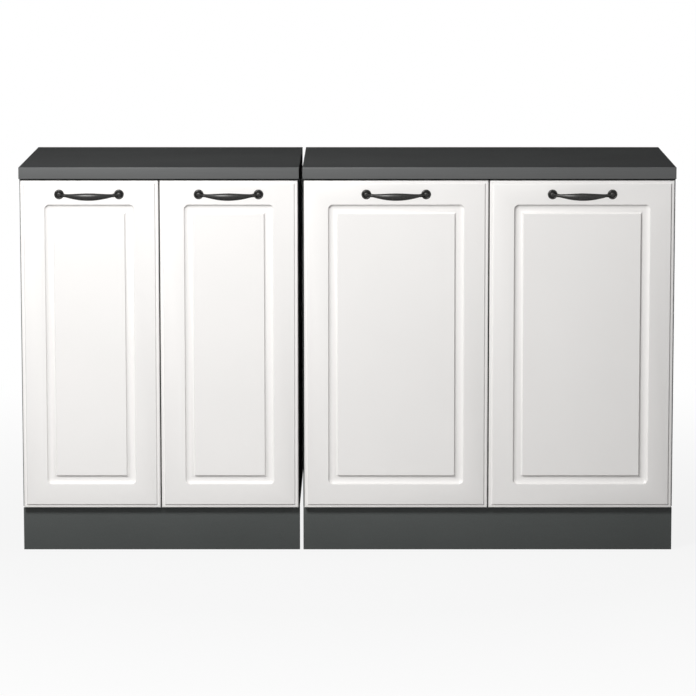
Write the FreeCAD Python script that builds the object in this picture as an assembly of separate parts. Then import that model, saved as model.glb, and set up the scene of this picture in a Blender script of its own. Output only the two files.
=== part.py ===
import FreeCAD, Part
import math
import os
from FreeCAD import Vector

# Two free-standing kitchen base units, a narrow and a wide one, side by side.
# Millimetres. +X to the right, the fronts face -Y, +Z up, the floor is Z = 0.

# Carcasses
NARROW_WIDTH = 600.0
WIDE_WIDTH = 800.0
UNIT_GAP = 7.5
CARCASS_HEIGHT = 716.0
CARCASS_DEPTH = 440.0
CARCASS_UNDERSIDE = 97.0
PANEL = 16.0
RAIL_DEPTH = 90.0
BACK_THICK = 3.0
BACK_SETBACK = 12.0
BACK_GROOVE_DEPTH = 6.0
BACK_PLAY = 0.2
SHELF_SETBACK = 34.0
SHELF_PLAY = 1.0
SHELF_UNDERSIDE = 440.0

# Worktops
WORKTOP_THICK = 25.0
WORKTOP_OVERHANG = 24.0
EDGING_THICK = 2.0
EDGING_ROUND = 1.5

# Doors: full overlay, framed front with a moulding milled by a shaped bit
DOOR_THICK = 18.0
DOOR_GAP = 3.0
DOOR_REVEAL = 2.7
DOOR_MEETING_GAP = 2.7
DOOR_BELOW_TOP = 3.0
FRAME_WIDTH = 52.0
MOULDING_WIDTH = 20.5
MOULDING_DEPTH = 6.5
MOULDING_FLANK = 4.5
LIP_WIDTH = 6.6
LIP_DEPTH = 3.2
LIP_SLOPE = 2.4
LIP_ROUND = 3.0

# Bow handles
HANDLE_CENTRES = 128.0
HANDLE_BELOW_TOP = 30.0
HANDLE_REACH = 28.0
HANDLE_DROOP = 3.5
GRIP_HEIGHT = 16.0
GRIP_DEPTH = 11.0
GRIP_END_HEIGHT = 5.8
GRIP_END_DEPTH = 5.4
GRIP_ROOT = 5.0
GRIP_END_SHARE = 0.99
GRIP_SECTIONS = 11
BOW_POWER = 2.4
SWELL_POWER = 1.3
SWELL_SPAN = 1.1
ROSETTE_RADIUS = 10.5
ROSETTE_HEIGHT = 9.0
ROSETTE_RIM = 5.2
ROSETTE_ROUND = 2.2
ROSETTE_BUTTON = 6.4
ROSETTE_GROOVE = 0.8
HANDLE_SCREW_RADIUS = 2.0
HANDLE_SCREW_BITE = 6.0

# Concealed single-pivot cup hinges, two to a door
HINGE_FROM_END = 100.0
OPENING_ANGLE = 95.0
CUP_RADIUS = 17.5
CUP_DEPTH = 12.0
CUP_WALL = 0.8
CUP_FROM_EDGE = 3.0
CUP_BORE_EXTRA = 0.4
FLANGE_THICK = 1.2
FLANGE_END_RADIUS = 7.0
CUP_SCREW_OFFSET = 9.5
CUP_SCREW_SPREAD = 45.0
PIN_FROM_EDGE = 6.5
PIN_FROM_BACK = 7.2
PIN_RADIUS = 1.1
EYE_RADIUS = 2.0
EYE_WIDTH = 7.0
LUG_GAP = 0.4
LUG_THICK = 2.0
ARM_THICK = 2.2
ARM_OFF_PANEL = 1.6
ARM_LENGTH = 62.0
ARM_WIDTH = 14.0
ARM_SHEET = 1.2
ARM_BEND = 1.1
ARM_NOSE = 4.0
PLATE_THICK = 1.4
PLATE_LINE = 37.0
PLATE_RIB_HEIGHT = 6.3
PLATE_RIB_LENGTH = 32.0
PLATE_RIB_PLAY = 0.3
PLATE_SCREW_SPREAD = 32.0
PLATE_WING_RADIUS = 8.0

# Adjustable legs and the clip-on plinth
LEG_FROM_SIDE = 70.0
LEG_FROM_FRONT = 62.0
LEG_FROM_REAR = 60.0
SOCKET_FLANGE = 56.0
SOCKET_FLANGE_THICK = 5.0
SOCKET_CORNER = 3.8
SOCKET_SCREW_EDGE = 2.0
SOCKET_HEIGHT = 55.0
SOCKET_RADIUS = 18.0
STEM_RADIUS = 14.7
STEM_PLAY = 0.3
STEM_BEVEL = 1.0
FOOT_RADIUS = 21.0
FOOT_THICK = 8.0
FOOT_ROUND = 2.0
FOOT_CONE = 4.0
FOOT_NOTCHES = 12
FOOT_NOTCH_RADIUS = 2.0
FOOT_NOTCH_OUT = 1.0
PLINTH_THICK = 16.0
PLINTH_TOP_GAP = 3.0
PLINTH_FLOOR_GAP = 1.0
CLIP_HEIGHT = 16.0
CLIP_WALL = 2.5
CLIP_PLAY = 0.3
CLIP_PLATE_WIDTH = 44.0
CLIP_PLATE_THICK = 4.0
CLIP_MOUTH_ANGLE = 100.0
CLIP_NECK = 10.0
CLIP_SCREW_EDGE = 1.0
CLIP_ABOVE_SOCKET_END = 4.0

# Fasteners, pins and buffers
SCREW_PLAY = 0.05
WOOD_SCREW_RADIUS = 2.0
WOOD_SCREW_LENGTH = 12.0
HEAD_RADIUS = 3.8
HEAD_THICK = 2.0
HEAD_BEVEL = 0.8
CROSS_SPAN = 4.4
CROSS_SLOT = 1.0
CROSS_DEPTH = 1.2
EURO_SCREW_RADIUS = 2.5
EURO_SCREW_LENGTH = 11.0
CARCASS_SCREW_RADIUS = 3.0
CARCASS_SCREW_LENGTH = 50.0
CARCASS_HEAD_RADIUS = 5.0
CARCASS_HEAD_THICK = 3.0
CARCASS_SCREW_INSET = 30.0
HEXAGON_ACROSS = 4.0
HEXAGON_DEPTH = 2.5
WORKTOP_SCREW_INSET = 120.0
WORKTOP_SCREW_LENGTH = 28.0
SHELF_PIN_RADIUS = 2.5
SHELF_PIN_DEPTH = 9.0
SHELF_PIN_LEDGE = 8.0
SHELF_PIN_THICK = 4.0
SHELF_PIN_INSET = 37.0
SHELF_PITCH = 32.0
SHELF_HOLES_EACH_WAY = 2
BUFFER_RADIUS = 4.5
BUFFER_EDGE = 0.9
BUFFER_PLAY = 0.2
BUFFER_FROM_MEETING = 30.0

# How far a cutting shape stands past the face that it opens
CUT_PAST = 1.0

# Places that follow from the sizes above
TOTAL_WIDTH = NARROW_WIDTH + UNIT_GAP + WIDE_WIDTH
HANDLE_FRONT = DOOR_GAP + DOOR_THICK + HANDLE_REACH
TOTAL_DEPTH = CARCASS_DEPTH + HANDLE_FRONT
REAR_Y = TOTAL_DEPTH / 2
FRONT_Y = REAR_Y - CARCASS_DEPTH
DOOR_BACK_Y = FRONT_Y - DOOR_GAP
DOOR_FACE_Y = DOOR_BACK_Y - DOOR_THICK
CARCASS_TOP = CARCASS_UNDERSIDE + CARCASS_HEIGHT
DOOR_TOP = CARCASS_TOP - DOOR_BELOW_TOP
HANDLE_Z = DOOR_TOP - HANDLE_BELOW_TOP
HINGE_HEIGHTS = (CARCASS_UNDERSIDE + HINGE_FROM_END, DOOR_TOP - HINGE_FROM_END)
BACK_Y = REAR_Y - BACK_SETBACK
NARROW_LEFT = -TOTAL_WIDTH / 2
UNITS = {
    "narrow": (NARROW_LEFT, NARROW_LEFT + NARROW_WIDTH),
    "wide": (NARROW_LEFT + NARROW_WIDTH + UNIT_GAP, TOTAL_WIDTH / 2),
}
ORIGIN = Vector(0, 0, 0)
X_AXIS = Vector(1, 0, 0)
Y_AXIS = Vector(0, 1, 0)
Z_AXIS = Vector(0, 0, 1)


def block(x_range, y_range, z_range):
    """A box between two limits on each axis, given in either order."""
    low = Vector(min(x_range), min(y_range), min(z_range))
    high = Vector(max(x_range), max(y_range), max(z_range))
    size = high - low
    return Part.makeBox(size.x, size.y, size.z, low)


def rod(radius, start, end):
    """A round bar from one point to another."""
    run = end - start
    return Part.makeCylinder(radius, run.Length, start, run)


def prism(outline, direction):
    """A solid pushed out of a closed outline of points."""
    return Part.Face(Part.makePolygon(outline + outline[:1])).extrude(direction)


def fused(shapes):
    """One solid from several that overlap or share faces."""
    return shapes[0].multiFuse(shapes[1:]).removeSplitter()


def one_solid(shape):
    return shape.Solids[0]


def edges_in_plane(shape, axis, place):
    """The edges of a shape that lie wholly in the plane axis = place."""
    return [
        edge for edge in shape.Edges
        if all(abs(getattr(v.Point, axis) - place) < 1e-6 for v in edge.Vertexes)
    ]


def edges_along(edges, axis):
    """Those of some straight edges that run along an axis."""
    return [e for e in edges if e.tangentAt(e.FirstParameter).cross(axis).Length < 1e-6]


def half_plane(radius, height):
    """A point of a turned piece's outline, at a distance from the axis and a height on it."""
    return Vector(radius, 0, height)


def dome(radius, foot, top):
    """The outline of a round dome, from its rim to its top on the axis."""
    rise = top - foot
    ball = (radius ** 2 + rise ** 2) / (2 * rise)
    half_angle = math.asin(radius / ball) / 2
    middle = half_plane(ball * math.sin(half_angle), top - ball + ball * math.cos(half_angle))
    return Part.Arc(half_plane(radius, foot), middle, half_plane(0, top)).toShape()


def set_on(solid, origin, axis):
    """A solid made upright on the origin, moved to a point and tilted from Z to an axis."""
    solid.Placement = FreeCAD.Placement(origin, FreeCAD.Rotation(Z_AXIS, axis))
    return solid


def turned(profile, origin, axis, arcs=()):
    """A solid of revolution about an axis through origin. Its outline is (radius, height) points,
    and arcs that go on from the last point to the axis."""
    points = [half_plane(radius, height) for radius, height in profile]
    edges = Part.makePolygon(points).Edges + list(arcs)
    edges.append(Part.makeLine(edges[-1].Vertexes[-1].Point, points[0]))
    return set_on(Part.Face(Part.Wire(edges)).revolve(ORIGIN, Z_AXIS, 360), origin, axis)


def cross_recess(head, direction):
    """The cutter of the cross recess in a pan head."""
    span = (-CROSS_SPAN / 2, CROSS_SPAN / 2)
    slot = (-CROSS_SLOT / 2, CROSS_SLOT / 2)
    levels = (-HEAD_THICK - CUT_PAST, -HEAD_THICK + CROSS_DEPTH)
    return set_on(fused([block(span, slot, levels), block(slot, span, levels)]), head, direction)


def screw(head, direction, shank_radius, length):
    """A cross-recess pan-head screw: its head seats at a point, its shank runs along direction."""
    profile = [
        (0, -HEAD_THICK), (HEAD_RADIUS - HEAD_BEVEL, -HEAD_THICK), (HEAD_RADIUS, -HEAD_THICK + HEAD_BEVEL),
        (HEAD_RADIUS, 0), (shank_radius, 0), (shank_radius, length - shank_radius), (0, length),
    ]
    return one_solid(turned(profile, head, direction).cut(cross_recess(head, direction)))


def screw_hole(head, direction, shank_radius, length):
    """The clearance hole of a screw, open at its head."""
    radius = shank_radius + SCREW_PLAY
    return rod(radius, head - direction * CUT_PAST, head + direction * (length + SCREW_PLAY))


# Carcass panels

def sides_of(unit):
    """Name, outer face and inward direction of a unit's two sides."""
    left, right = UNITS[unit]
    return (("left", left, 1), ("right", right, -1))


def hinge_sides():
    """Every door of the two units, by unit, side, outer face and inward direction."""
    return [(unit, side, face, inward) for unit in UNITS for side, face, inward in sides_of(unit)]


def back_groove(unit):
    """The groove that the back panel slides into, round the inside of a carcass."""
    left, right = UNITS[unit]
    reach = PANEL - BACK_GROOVE_DEPTH
    return block(
        (left + reach, right - reach),
        (BACK_Y - BACK_THICK - BACK_PLAY, BACK_Y + BACK_PLAY),
        (CARCASS_UNDERSIDE + reach, CARCASS_TOP + PANEL),
    )


def shelf_pin_places(unit):
    """Where shelf pins enter the side panels: x of the inner face, inward direction and y."""
    front_row = FRONT_Y + SHELF_SETBACK + SHELF_PIN_INSET
    rear_row = BACK_Y - BACK_THICK - SHELF_PIN_INSET
    return [
        (face + inward * PANEL, inward, y)
        for _, face, inward in sides_of(unit) for y in (front_row, rear_row)
    ]


def shelf_pin_height():
    return SHELF_UNDERSIDE - SHELF_PIN_THICK / 2


def shelf_holes(unit):
    """Rows of shelf holes above and below the shelf, at the usual pitch."""
    holes = []
    for face, inward, y in shelf_pin_places(unit):
        for step in range(-SHELF_HOLES_EACH_WAY, SHELF_HOLES_EACH_WAY + 1):
            mouth = Vector(face, y, shelf_pin_height() + step * SHELF_PITCH)
            depth = X_AXIS * -inward * (SHELF_PIN_DEPTH + SCREW_PLAY)
            holes.append(rod(SHELF_PIN_RADIUS + SCREW_PLAY, mouth, mouth + depth))
    return holes


def carcass_screw_places(unit):
    """Heads and directions of the screws that hold the bottom and the rails to the sides."""
    bottom = CARCASS_UNDERSIDE + PANEL / 2
    top = CARCASS_TOP - PANEL / 2
    rows = (
        (FRONT_Y + CARCASS_SCREW_INSET, bottom),
        (BACK_Y - BACK_THICK - CARCASS_SCREW_INSET, bottom),
        (FRONT_Y + CARCASS_SCREW_INSET, top),
        (FRONT_Y + RAIL_DEPTH - CARCASS_SCREW_INSET, top),
        (BACK_Y - BACK_THICK - CARCASS_SCREW_INSET, top),
        (BACK_Y - BACK_THICK - RAIL_DEPTH + CARCASS_SCREW_INSET, top),
    )
    return [
        (Vector(face, y, z), X_AXIS * inward)
        for _, face, inward in sides_of(unit) for y, z in rows
    ]


def carcass_screw_body(head, direction):
    """The outer shape of a countersunk connecting screw, flush in the side panel, and of its hole."""
    straight = CARCASS_HEAD_THICK - CARCASS_HEAD_RADIUS + CARCASS_SCREW_RADIUS
    profile = [
        (0, 0), (CARCASS_HEAD_RADIUS, 0), (CARCASS_HEAD_RADIUS, straight),
        (CARCASS_SCREW_RADIUS, CARCASS_HEAD_THICK),
        (CARCASS_SCREW_RADIUS, CARCASS_SCREW_LENGTH - CARCASS_SCREW_RADIUS), (0, CARCASS_SCREW_LENGTH),
    ]
    return turned(profile, head, direction)


def carcass_screw_holes(unit):
    return [carcass_screw_body(head, direction) for head, direction in carcass_screw_places(unit)]


def hexagon_socket(head, direction):
    """The cutter of the hexagon socket in a connecting screw's head."""
    corner = HEXAGON_ACROSS / math.sqrt(3)
    outline = [
        Vector(corner * math.cos(step * math.pi / 3), corner * math.sin(step * math.pi / 3), -CUT_PAST)
        for step in range(6)
    ]
    return set_on(prism(outline, Z_AXIS * (HEXAGON_DEPTH + CUT_PAST)), head, direction)


def carcass_screws(unit):
    return [
        one_solid(carcass_screw_body(head, direction).cut(hexagon_socket(head, direction)))
        for head, direction in carcass_screw_places(unit)
    ]


def side_panel(unit, face, inward):
    panel = block(
        (face, face + inward * PANEL), (FRONT_Y, REAR_Y), (CARCASS_UNDERSIDE, CARCASS_TOP)
    )
    holes = shelf_holes(unit) + carcass_screw_holes(unit) + [back_groove(unit)]
    for height in HINGE_HEIGHTS:
        for head in plate_screw_heads(face, inward, height):
            seat = Vector(face + inward * PANEL, head.y, head.z)
            holes.append(screw_hole(seat, X_AXIS * -inward, EURO_SCREW_RADIUS, EURO_SCREW_LENGTH))
    return one_solid(panel.cut(holes))


def bottom_panel(unit):
    left, right = UNITS[unit]
    panel = block(
        (left + PANEL, right - PANEL), (FRONT_Y, REAR_Y),
        (CARCASS_UNDERSIDE, CARCASS_UNDERSIDE + PANEL),
    )
    holes = carcass_screw_holes(unit) + [back_groove(unit)]
    for head in socket_screw_heads(unit):
        seat = Vector(head.x, head.y, CARCASS_UNDERSIDE)
        holes.append(screw_hole(seat, Z_AXIS, WOOD_SCREW_RADIUS, WOOD_SCREW_LENGTH))
    return one_solid(panel.cut(holes))


def rail_rows():
    """Front and rear limits of the two top rails."""
    rear = BACK_Y - BACK_THICK - BACK_PLAY
    return {"front": (FRONT_Y, FRONT_Y + RAIL_DEPTH), "rear": (rear - RAIL_DEPTH, rear)}


def worktop_screw_heads(unit):
    """Heads of the screws that hold the worktop down, under the rails."""
    left, right = UNITS[unit]
    return [
        Vector(x, sum(limits) / 2, CARCASS_TOP - PANEL)
        for limits in rail_rows().values()
        for x in (left + WORKTOP_SCREW_INSET, right - WORKTOP_SCREW_INSET)
    ]


def top_rail(unit, row):
    left, right = UNITS[unit]
    rail = block(
        (left + PANEL, right - PANEL), rail_rows()[row], (CARCASS_TOP - PANEL, CARCASS_TOP)
    )
    holes = carcass_screw_holes(unit)
    for head in worktop_screw_heads(unit):
        holes.append(screw_hole(head, Z_AXIS, WOOD_SCREW_RADIUS, WORKTOP_SCREW_LENGTH))
    return one_solid(rail.cut(holes))


def back_panel(unit):
    left, right = UNITS[unit]
    reach = PANEL - BACK_GROOVE_DEPTH + BACK_PLAY
    return block(
        (left + reach, right - reach), (BACK_Y - BACK_THICK, BACK_Y),
        (CARCASS_UNDERSIDE + reach, CARCASS_TOP),
    )


def shelf(unit):
    left, right = UNITS[unit]
    inset = PANEL + SHELF_PLAY
    return block(
        (left + inset, right - inset),
        (FRONT_Y + SHELF_SETBACK, BACK_Y - BACK_THICK - SHELF_PLAY),
        (SHELF_UNDERSIDE, SHELF_UNDERSIDE + PANEL),
    )


def shelf_pin(face, inward, y):
    """A spoon-shaped shelf pin: a round peg in the side and a flat ledge under the shelf."""
    middle = Vector(face, y, shelf_pin_height())
    peg = rod(SHELF_PIN_RADIUS, middle - X_AXIS * inward * SHELF_PIN_DEPTH, middle)
    ledge = block(
        (face, face + inward * SHELF_PIN_LEDGE),
        (y - SHELF_PIN_LEDGE / 2, y + SHELF_PIN_LEDGE / 2),
        (SHELF_UNDERSIDE - SHELF_PIN_THICK, SHELF_UNDERSIDE),
    )
    return fused([peg, ledge])


def worktop(unit):
    top = block(
        UNITS[unit], (FRONT_Y - WORKTOP_OVERHANG + EDGING_THICK, REAR_Y),
        (CARCASS_TOP, CARCASS_TOP + WORKTOP_THICK),
    )
    holes = [
        screw_hole(head, Z_AXIS, WOOD_SCREW_RADIUS, WORKTOP_SCREW_LENGTH)
        for head in worktop_screw_heads(unit)
    ]
    return one_solid(top.cut(holes))


def worktop_edging(unit):
    """The strip glued to the worktop's front, with its long edges rounded."""
    face = FRONT_Y - WORKTOP_OVERHANG
    strip = block(
        UNITS[unit], (face, face + EDGING_THICK), (CARCASS_TOP, CARCASS_TOP + WORKTOP_THICK)
    )
    return strip.makeFillet(EDGING_ROUND, edges_along(edges_in_plane(strip, "y", face), X_AXIS))


# Doors

def door_limits(unit, side):
    """Left and right edge of a door."""
    left, right = UNITS[unit]
    width = (right - left - 2 * DOOR_REVEAL - DOOR_MEETING_GAP) / 2
    start = left + DOOR_REVEAL if side == "left" else right - DOOR_REVEAL - width
    return start, start + width


def bit_section(whole):
    """The section of the bit that mills the moulding, or the half that turns about its axis. A wide arc
    at its nose runs into a tight one at its flank. X runs across, Z out of the door's face, Z = 0."""
    half = MOULDING_WIDTH / 2
    flank_middle = half - MOULDING_FLANK
    deeper = MOULDING_DEPTH - MOULDING_FLANK
    nose = (flank_middle ** 2 + MOULDING_DEPTH ** 2 - MOULDING_FLANK ** 2) / (2 * deeper)
    joint = math.asin(flank_middle / (nose - MOULDING_FLANK))

    def on_nose(angle):
        return half_plane(nose * math.sin(angle), nose - MOULDING_DEPTH - nose * math.cos(angle))

    def on_flank(angle):
        return half_plane(flank_middle + MOULDING_FLANK * math.sin(angle), -MOULDING_FLANK * math.cos(angle))

    def arc(point, first, last):
        return Part.Arc(point(first), point((first + last) / 2), point(last)).toShape()

    flank = arc(on_flank, joint, math.pi / 2)
    if whole:
        edges = [flank.mirror(ORIGIN, X_AXIS), arc(on_nose, -joint, joint), flank]
        top = [(half, 0), (half, CUT_PAST), (-half, CUT_PAST), (-half, 0)]
    else:
        edges = [arc(on_nose, 0, joint), flank]
        top = [(half, 0), (half, CUT_PAST), (0, CUT_PAST), (0, -MOULDING_DEPTH)]
    edges += Part.makePolygon([half_plane(*point) for point in top]).Edges
    return Part.Face(Part.Wire(Part.sortEdges(edges)[0]))


def moulding_cutter(left, right):
    """The path of the bit round a door: its section along four runs, and a quarter turn at each corner."""
    section = bit_section(True)
    quarter = bit_section(False).revolve(ORIGIN, -Z_AXIS, 90)
    inset = FRAME_WIDTH + MOULDING_WIDTH / 2
    low, high = CARCASS_UNDERSIDE + inset, DOOR_TOP - inset
    corners = [
        Vector(left + inset, DOOR_FACE_Y, low), Vector(right - inset, DOOR_FACE_Y, low),
        Vector(right - inset, DOOR_FACE_Y, high), Vector(left + inset, DOOR_FACE_Y, high),
    ]
    pieces = []
    for corner, following in zip(corners, corners[1:] + corners[:1]):
        run = following - corner
        outwards = run.cross(-Y_AXIS)
        along = FreeCAD.Rotation(outwards, run, -Y_AXIS, "ZYX")
        for piece in (section.extrude(Y_AXIS * run.Length), quarter.copy()):
            piece.Placement = FreeCAD.Placement(corner, along)
            pieces.append(piece)
    return fused(pieces)


def raised_field(left, right):
    """The door's raised face, whose sides slope down to the lip round it."""
    def border(inset, y):
        low, high = CARCASS_UNDERSIDE + inset, DOOR_TOP - inset
        places = [(left + inset, low), (right - inset, low), (right - inset, high), (left + inset, high)]
        corners = [Vector(x, y, z) for x, z in places]
        return Part.makePolygon(corners + corners[:1])

    foot = border(LIP_WIDTH, DOOR_FACE_Y + LIP_DEPTH)
    return Part.makeLoft([foot, border(LIP_WIDTH + LIP_SLOPE, DOOR_FACE_Y)], True, True)


def framed_slab(left, right):
    """The door board: a lipped, rounded edge round a raised field with the moulding in it."""
    shoulder = DOOR_FACE_Y + LIP_DEPTH
    board = block((left, right), (DOOR_BACK_Y, shoulder), (CARCASS_UNDERSIDE, DOOR_TOP))
    board = board.makeFillet(LIP_ROUND, edges_in_plane(board, "y", shoulder))
    return fused([board, raised_field(left, right)]).cut(moulding_cutter(left, right))


def handle_screw_heads(unit, side):
    middle = sum(door_limits(unit, side)) / 2
    return [Vector(middle + end * HANDLE_CENTRES / 2, DOOR_BACK_Y, HANDLE_Z) for end in (-1, 1)]


def handle_screw_length():
    return DOOR_THICK + HANDLE_SCREW_BITE


def door(unit, side, face, inward):
    left, right = door_limits(unit, side)
    slab = framed_slab(left, right)
    holes = []
    for head in handle_screw_heads(unit, side):
        holes.append(screw_hole(head, -Y_AXIS, HANDLE_SCREW_RADIUS, handle_screw_length()))
    for height in HINGE_HEIGHTS:
        centre = cup_centre(face, inward, height)
        floor = centre - Y_AXIS * (CUP_DEPTH + CUP_BORE_EXTRA)
        holes.append(rod(CUP_RADIUS + SCREW_PLAY, centre + Y_AXIS * CUT_PAST, floor))
        for head in cup_screw_heads(face, inward, height):
            seat = Vector(head.x, DOOR_BACK_Y, head.z)
            length = WOOD_SCREW_LENGTH - FLANGE_THICK
            holes.append(screw_hole(seat, -Y_AXIS, WOOD_SCREW_RADIUS, length))
    return one_solid(slab.cut(holes))


# Handles

def rosette(centre):
    """A round end button: a rounded rim, a ring groove and a domed middle."""
    rim = ROSETTE_RADIUS - ROSETTE_ROUND
    bend = ROSETTE_ROUND * math.sqrt(0.5)
    outside = Part.Arc(
        half_plane(ROSETTE_RADIUS, ROSETTE_RIM - ROSETTE_ROUND),
        half_plane(rim + bend, ROSETTE_RIM - ROSETTE_ROUND + bend), half_plane(rim, ROSETTE_RIM),
    )
    groove = Part.Arc(
        half_plane(rim, ROSETTE_RIM), half_plane((rim + ROSETTE_BUTTON) / 2, ROSETTE_RIM - ROSETTE_GROOVE),
        half_plane(ROSETTE_BUTTON, ROSETTE_RIM),
    )
    button = dome(ROSETTE_BUTTON, ROSETTE_RIM, ROSETTE_HEIGHT)
    profile = [(0, 0), (ROSETTE_RADIUS, 0), (ROSETTE_RADIUS, ROSETTE_RIM - ROSETTE_ROUND)]
    return turned(profile, centre, -Y_AXIS, [outside.toShape(), groove.toShape(), button])


def grip_section(share, centre):
    """An oval section of the bow, at a share of its half length, square to its run."""
    half = HANDLE_CENTRES / 2
    rise = HANDLE_REACH - GRIP_DEPTH / 2 - GRIP_ROOT
    bulge = 1 - abs(share) ** BOW_POWER
    steepness = rise * BOW_POWER * abs(share) ** (BOW_POWER - 1) / half
    swell = math.cos(min(1.0, abs(share) * SWELL_SPAN) * math.pi / 2) ** SWELL_POWER
    tall = (GRIP_END_HEIGHT + (GRIP_HEIGHT - GRIP_END_HEIGHT) * swell) / 2
    deep = (GRIP_END_DEPTH + (GRIP_DEPTH - GRIP_END_DEPTH) * swell) / 2
    place = centre + Vector(share * half, -GRIP_ROOT - rise * bulge, -HANDLE_DROOP * bulge)
    run = Vector(1, math.copysign(steepness, share), 0)
    across = Z_AXIS.cross(run).normalize()
    oval = Part.Ellipse(place + Z_AXIS * tall, place + across * deep, place)
    return Part.Wire(oval.toShape())


def handle(unit, side):
    """A cast bow handle: two end buttons joined by a swelling grip."""
    heads = handle_screw_heads(unit, side)
    feet = [Vector(head.x, DOOR_FACE_Y, head.z) for head in heads]
    centre = (feet[0] + feet[1]) * 0.5
    steps = [math.pi * step / (GRIP_SECTIONS - 1) for step in range(GRIP_SECTIONS)]
    shares = [-GRIP_END_SHARE * math.cos(angle) for angle in steps]
    grip = Part.makeLoft([grip_section(share, centre) for share in shares], True)
    body = fused([grip] + [rosette(foot) for foot in feet])
    holes = [
        screw_hole(foot, -Y_AXIS, HANDLE_SCREW_RADIUS, HANDLE_SCREW_BITE) for foot in feet
    ]
    return one_solid(body.cut(holes))


def door_screws(unit, side, face, inward):
    """The handle's two screws and the four screws of the hinge cups."""
    screws = [
        screw(head, -Y_AXIS, HANDLE_SCREW_RADIUS, handle_screw_length())
        for head in handle_screw_heads(unit, side)
    ]
    for height in HINGE_HEIGHTS:
        for head in cup_screw_heads(face, inward, height):
            screws.append(screw(head, -Y_AXIS, WOOD_SCREW_RADIUS, WOOD_SCREW_LENGTH))
    return screws


# Hinges. Across is measured inward from the side's outer face, ahead from the carcass front.

def hinge_point(face, inward, across, ahead, height):
    return Vector(face + inward * across, FRONT_Y - ahead, height)


def cup_centre(face, inward, height):
    return hinge_point(face, inward, DOOR_REVEAL + CUP_FROM_EDGE + CUP_RADIUS, DOOR_GAP, height)


def pin_across():
    return DOOR_REVEAL + PIN_FROM_EDGE


def pin_ahead():
    return DOOR_GAP + PIN_FROM_BACK


def cup_screw_heads(face, inward, height):
    """Heads of the two cup screws, on the flange."""
    centre = cup_centre(face, inward, height)
    return [
        centre + Vector(inward * CUP_SCREW_OFFSET, FLANGE_THICK, end * CUP_SCREW_SPREAD / 2)
        for end in (-1, 1)
    ]


def hinge_cup(face, inward, height):
    """A pressed cup with its screw flange and the two lugs that hold the pin."""
    centre = cup_centre(face, inward, height)
    ends = [Vector(head.x, DOOR_BACK_Y, head.z) for head in cup_screw_heads(face, inward, height)]
    tabs = [rod(FLANGE_END_RADIUS, end, end + Y_AXIS * FLANGE_THICK) for end in ends]
    bridge = block(
        (ends[0].x - FLANGE_END_RADIUS, ends[0].x + FLANGE_END_RADIUS),
        (DOOR_BACK_Y, DOOR_BACK_Y + FLANGE_THICK), (ends[0].z, ends[1].z),
    )
    shell = rod(CUP_RADIUS, centre, centre - Y_AXIS * CUP_DEPTH)
    floor = centre - Y_AXIS * (CUP_DEPTH - CUP_WALL)
    hollow = rod(CUP_RADIUS - CUP_WALL, centre + Y_AXIS * (FLANGE_THICK + CUT_PAST), floor)
    cup = fused(tabs + [bridge, shell]).cut(hollow)
    pin = hinge_point(face, inward, pin_across(), pin_ahead(), height)
    lugs = []
    for end in (-1, 1):
        near = height + end * (EYE_WIDTH / 2 + LUG_GAP)
        lug = block(
            (centre.x - inward * CUP_RADIUS, pin.x + inward * EYE_RADIUS),
            (pin.y + EYE_RADIUS, floor.y - CUP_WALL / 2), (near, near + end * LUG_THICK),
        )
        lugs.append(lug.common(shell))
    drill = rod(PIN_RADIUS + SCREW_PLAY, pin - Z_AXIS * CUP_RADIUS, pin + Z_AXIS * CUP_RADIUS)
    span = EYE_WIDTH / 2 + LUG_GAP + LUG_THICK
    drill = drill.common(block(
        (pin.x - CUP_RADIUS, pin.x + CUP_RADIUS), (pin.y - CUP_RADIUS, pin.y + CUP_RADIUS),
        (height - span, height + span),
    ))
    cup = fused([cup] + lugs).cut(drill)
    holes = [
        screw_hole(head, -Y_AXIS, WOOD_SCREW_RADIUS, WOOD_SCREW_LENGTH)
        for head in cup_screw_heads(face, inward, height)
    ]
    return one_solid(cup.cut(holes))


def hinge_pin(face, inward, height):
    middle = hinge_point(face, inward, pin_across(), pin_ahead(), height)
    half = Z_AXIS * (EYE_WIDTH / 2 + LUG_GAP + LUG_THICK)
    return rod(PIN_RADIUS, middle - half, middle + half)


def arm_fixing_head(face, inward, height):
    """Head of the screw that clamps the arm's channel to the plate's rib."""
    across = PANEL + PLATE_RIB_HEIGHT + ARM_SHEET
    return hinge_point(face, inward, across, -PLATE_LINE, height)


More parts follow.
